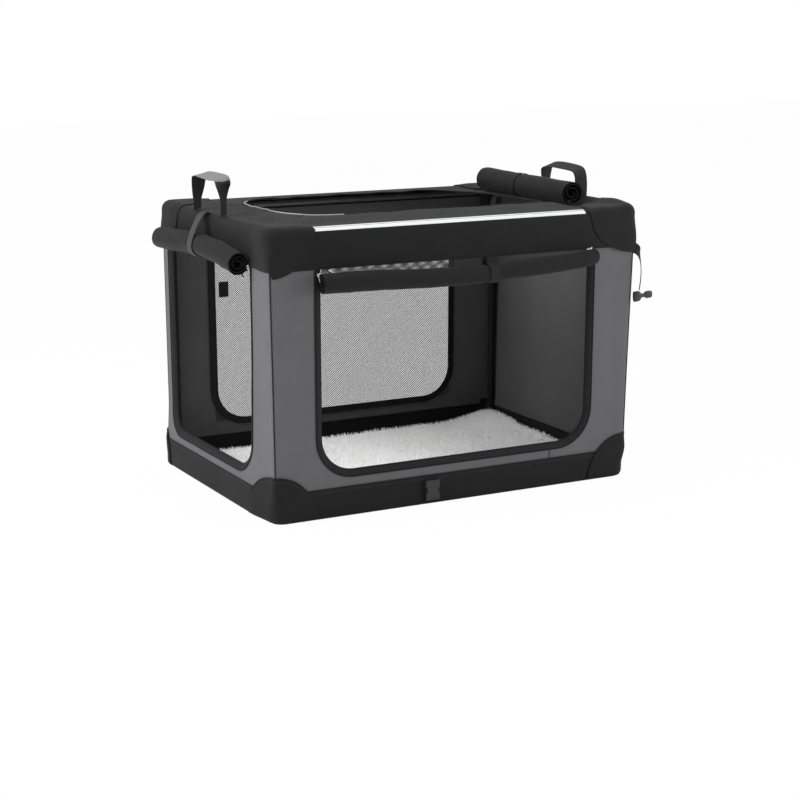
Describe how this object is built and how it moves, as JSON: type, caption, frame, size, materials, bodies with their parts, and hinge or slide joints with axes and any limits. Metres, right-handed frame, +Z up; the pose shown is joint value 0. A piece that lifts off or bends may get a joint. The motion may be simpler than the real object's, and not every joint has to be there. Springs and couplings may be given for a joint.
{
  "type": "soft folding dog crate",
  "caption": "Soft fabric dog crate on a folding tube frame, with rolled-up doors, mesh window, carry handles and mat.",
  "frame": {"origin": "middle of the underside of the base tray", "axes": "+X along the length towards the plain right end, +Z up, and the front doorway faces -Y"},
  "size_m": [1.0044, 0.6676, 0.7157],
  "materials": {
    "black_cloth": "matte woven cloth",
    "grey_cloth": "matte woven cloth",
    "black_mesh": "open mesh",
    "black_webbing": "flat webbing",
    "silver_tape": "reflective tape",
    "white_fleece": "soft plush pile",
    "steel": "satin",
    "plastic": "fine moulded texture"
  },
  "bodies": {
    "base": {"base_tray": "black_cloth", "base_front_tube": "steel", "base_back_tube": "steel", "base_left_tube": "steel", "base_right_tube": "steel", "corner_bracket_front_left": "plastic", "corner_bracket_back_left": "plastic", "corner_bracket_front_right": "plastic", "corner_bracket_back_right": "plastic", "hinge_pin_front_left": "steel", "hinge_pin_back_left": "steel", "hinge_pin_front_right": "steel", "hinge_pin_back_right": "steel", "base_patch_front_left": "black_cloth", "base_patch_back_left": "black_cloth", "base_patch_front_right": "black_cloth", "base_patch_back_right": "black_cloth", "fleece_mat": "white_fleece", "buckle_socket": "plastic", "front_wall": "grey_cloth", "front_door_trim": "black_cloth", "back_wall": "grey_cloth", "back_mesh": "black_mesh", "back_window_trim": "black_cloth"},
    "left_end": {"left_hoop": "steel", "hoop_foot_front_left": "plastic", "hoop_foot_back_left": "plastic", "rail_plate_front_left": "plastic", "rail_plate_back_left": "plastic", "left_wall": "grey_cloth", "left_door_trim": "black_cloth", "left_top_band": "black_cloth", "top_patch_front_left": "black_cloth", "top_patch_back_left": "black_cloth", "left_door_roll": "black_cloth", "left_roll_strap": "black_webbing"},
    "right_end": {"right_hoop": "steel", "hoop_foot_front_right": "plastic", "hoop_foot_back_right": "plastic", "rail_plate_front_right": "plastic", "rail_plate_back_right": "plastic", "right_wall": "grey_cloth", "right_pocket": "grey_cloth", "right_top_band": "black_cloth", "top_patch_front_right": "black_cloth", "top_patch_back_right": "black_cloth", "top_door_roll": "black_cloth", "top_roll_strap": "black_webbing"},
    "left_carry_handle": {"left_handle": "black_webbing"},
    "right_carry_handle": {"right_handle": "black_webbing"},
    "closing_strap_and_clip": {"closing_strap": "black_webbing", "buckle_clip": "plastic"},
    "flap": {"pocket_flap": "grey_cloth"},
    "front_rail_assembly": {"front_rail": "steel", "front_top_band": "black_cloth", "reflective_strip": "silver_tape", "front_door_roll": "black_cloth", "front_roll_strap": "black_webbing"},
    "back_rail_assembly": {"back_rail": "steel", "back_top_band": "black_cloth"}
  },
  "joints": [
    {"name": "left_end_fold", "type": "hinge", "parent": "base", "child": "left_end", "pos_m": [-0.4395, 0, 0.06], "axis": [0, 1, 0], "range_deg": [0, 82], "deforming": ["front_wall", "front_door_trim", "back_wall", "back_mesh", "back_window_trim", "left_top_band", "top_patch_front_left", "top_patch_back_left", "front_top_band", "reflective_strip", "front_door_roll", "front_roll_strap", "back_top_band"]},
    {"name": "right_end_fold", "type": "hinge", "parent": "base", "child": "right_end", "pos_m": [0.4395, 0, 0.036], "axis": [0, -1, 0], "range_deg": [0, 86], "deforming": ["right_top_band", "top_patch_front_right", "top_patch_back_right", "top_door_roll", "top_roll_strap"]},
    {"name": "front_rail_drop", "type": "slide", "parent": "base", "child": "front_rail_assembly", "axis": [0, 0, -1], "range_m": [0, 0.5802]},
    {"name": "back_rail_drop", "type": "slide", "parent": "base", "child": "back_rail_assembly", "axis": [0, 0, -1], "range_m": [0, 0.5802]},
    {"name": "left_handle_swing", "type": "hinge", "parent": "left_end", "child": "left_carry_handle", "pos_m": [-0.438, 0.043, 0.6297], "axis": [0, -1, 0], "range_deg": [-76, 85], "stiffness_Nm_per_rad": 0.05},
    {"name": "right_handle_swing", "type": "hinge", "parent": "right_end", "child": "right_carry_handle", "pos_m": [0.438, -0.043, 0.6297], "axis": [0, 1, 0], "range_deg": [-25, 85], "stiffness_Nm_per_rad": 0.05},
    {"name": "closing_strap_swing", "type": "hinge", "parent": "right_end", "child": "closing_strap_and_clip", "pos_m": [0.45048, -0.30284, 0.545], "axis": [0.5736, 0.8192, 0], "range_deg": [-60, 0]},
    {"name": "pocket_flap_lift", "type": "hinge", "parent": "right_end", "child": "flap", "pos_m": [0.4521, 0, 0.42], "axis": [0, 1, 0], "range_deg": [-85, 0]}
  ],
  "couplings": [
    {"joint": "front_rail_drop", "follows": "left_end_fold", "m_per_rad": 0.4053},
    {"joint": "back_rail_drop", "follows": "left_end_fold", "m_per_rad": 0.4053}
  ]
}
